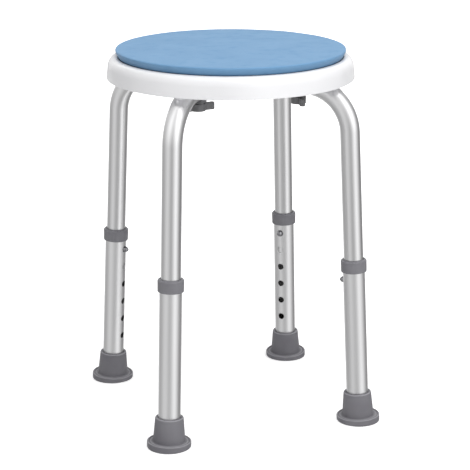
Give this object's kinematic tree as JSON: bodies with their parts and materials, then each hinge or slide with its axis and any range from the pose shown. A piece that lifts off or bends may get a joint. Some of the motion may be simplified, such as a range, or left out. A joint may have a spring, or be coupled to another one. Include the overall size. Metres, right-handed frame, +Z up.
{
  "type": "swivel bath stool",
  "caption": "Backless round stool with a padded seat that turns on a white shell, on splayed telescopic tube legs with snap-button height setting and rubber feet.",
  "frame": {"origin": "on the floor at the centre of the four feet, under the seat's pivot", "axes": "+Z up along the pivot axis, -Y to the front, +X to the right as seen from the front"},
  "size_m": [0.323, 0.323, 0.4862],
  "materials": {
    "white_shell": "moulded polypropylene, satin gloss",
    "pad_foam": "closed-cell foam, fine matte grain",
    "turntable_plastic": "moulded, matte",
    "tube_aluminium": "satin anodised",
    "grey_plastic": "moulded, matte",
    "foot_rubber": "moulded rubber, matte",
    "bearing_plastic": "acetal, smooth",
    "steel": "zinc plated"
  },
  "bodies": {
    "frame": {"seat_shell": "white_shell", "pivot_bush": "bearing_plastic", "glide_ring": "bearing_plastic", "leg_upper_front_left": "tube_aluminium", "leg_saddle_front_left": "grey_plastic", "captive_nut_front_left": "steel", "snap_spring_front_left": "steel", "leg_upper_front_right": "tube_aluminium", "leg_saddle_front_right": "grey_plastic", "captive_nut_front_right": "steel", "snap_spring_front_right": "steel", "leg_upper_rear_right": "tube_aluminium", "leg_saddle_rear_right": "grey_plastic", "captive_nut_rear_right": "steel", "snap_spring_rear_right": "steel", "leg_upper_rear_left": "tube_aluminium", "leg_saddle_rear_left": "grey_plastic", "captive_nut_rear_left": "steel", "snap_spring_rear_left": "steel"},
    "swivel_seat": {"turntable": "turntable_plastic", "seat_pad": "pad_foam", "pivot_washer": "steel", "pivot_screw": "steel"},
    "lower_leg_front_left": {"leg_lower_front_left": "tube_aluminium", "collar_front_left": "grey_plastic", "foot_front_left": "foot_rubber", "foot_washer_front_left": "steel"},
    "button_front_left": {"snap_button_front_left": "steel"},
    "knob_front_left": {"leg_knob_front_left": "grey_plastic", "knob_stud_front_left": "steel"},
    "lower_leg_front_right": {"leg_lower_front_right": "tube_aluminium", "collar_front_right": "grey_plastic", "foot_front_right": "foot_rubber", "foot_washer_front_right": "steel"},
    "button_front_right": {"snap_button_front_right": "steel"},
    "knob_front_right": {"leg_knob_front_right": "grey_plastic", "knob_stud_front_right": "steel"},
    "lower_leg_rear_right": {"leg_lower_rear_right": "tube_aluminium", "collar_rear_right": "grey_plastic", "foot_rear_right": "foot_rubber", "foot_washer_rear_right": "steel"},
    "button_rear_right": {"snap_button_rear_right": "steel"},
    "knob_rear_right": {"leg_knob_rear_right": "grey_plastic", "knob_stud_rear_right": "steel"},
    "lower_leg_rear_left": {"leg_lower_rear_left": "tube_aluminium", "collar_rear_left": "grey_plastic", "foot_rear_left": "foot_rubber", "foot_washer_rear_left": "steel"},
    "button_rear_left": {"snap_button_rear_left": "steel"},
    "knob_rear_left": {"leg_knob_rear_left": "grey_plastic", "knob_stud_rear_left": "steel"}
  },
  "joints": [
    {"name": "seat_swivel", "type": "hinge", "parent": "frame", "child": "swivel_seat", "pos_m": [0, 0, 0.47], "axis": [0, 0, 1], "continuous": true},
    {"name": "leg_height_front_left", "type": "slide", "parent": "frame", "child": "lower_leg_front_left", "axis": [0.0339, 0.0339, 0.9988], "range_m": [0, 0.127], "deforming": ["snap_button_front_left"]},
    {"name": "button_press_front_left", "type": "slide", "parent": "frame", "child": "button_front_left", "axis": [-0.7063, -0.7063, 0.048], "range_m": [0, 0.007], "stiffness_N_per_m": 1500, "springref_m": -0.003, "deforming": ["snap_spring_front_left"]},
    {"name": "knob_turn_front_left", "type": "hinge", "parent": "frame", "child": "knob_front_left", "pos_m": [-0.06791, -0.06791, 0.42], "axis": [0, 0, 1], "continuous": true},
    {"name": "leg_height_front_right", "type": "slide", "parent": "frame", "child": "lower_leg_front_right", "axis": [-0.0339, 0.0339, 0.9988], "range_m": [0, 0.127], "deforming": ["snap_button_front_right"]},
    {"name": "button_press_front_right", "type": "slide", "parent": "frame", "child": "button_front_right", "axis": [0.7063, -0.7063, 0.048], "range_m": [0, 0.007], "stiffness_N_per_m": 1500, "springref_m": -0.003, "deforming": ["snap_spring_front_right"]},
    {"name": "knob_turn_front_right", "type": "hinge", "parent": "frame", "child": "knob_front_right", "pos_m": [0.06791, -0.06791, 0.42], "axis": [0, 0, 1], "continuous": true},
    {"name": "leg_height_rear_right", "type": "slide", "parent": "frame", "child": "lower_leg_rear_right", "axis": [-0.0339, -0.0339, 0.9988], "range_m": [0, 0.127], "deforming": ["snap_button_rear_right"]},
    {"name": "button_press_rear_right", "type": "slide", "parent": "frame", "child": "button_rear_right", "axis": [0.7063, 0.7063, 0.048], "range_m": [0, 0.007], "stiffness_N_per_m": 1500, "springref_m": -0.003, "deforming": ["snap_spring_rear_right"]},
    {"name": "knob_turn_rear_right", "type": "hinge", "parent": "frame", "child": "knob_rear_right", "pos_m": [0.06791, 0.06791, 0.42], "axis": [0, 0, 1], "continuous": true},
    {"name": "leg_height_rear_left", "type": "slide", "parent": "frame", "child": "lower_leg_rear_left", "axis": [0.0339, -0.0339, 0.9988], "range_m": [0, 0.127], "deforming": ["snap_button_rear_left"]},
    {"name": "button_press_rear_left", "type": "slide", "parent": "frame", "child": "button_rear_left", "axis": [-0.7063, 0.7063, 0.048], "range_m": [0, 0.007], "stiffness_N_per_m": 1500, "springref_m": -0.003, "deforming": ["snap_spring_rear_left"]},
    {"name": "knob_turn_rear_left", "type": "hinge", "parent": "frame", "child": "knob_rear_left", "pos_m": [-0.06791, 0.06791, 0.42], "axis": [0, 0, 1], "continuous": true}
  ]
}
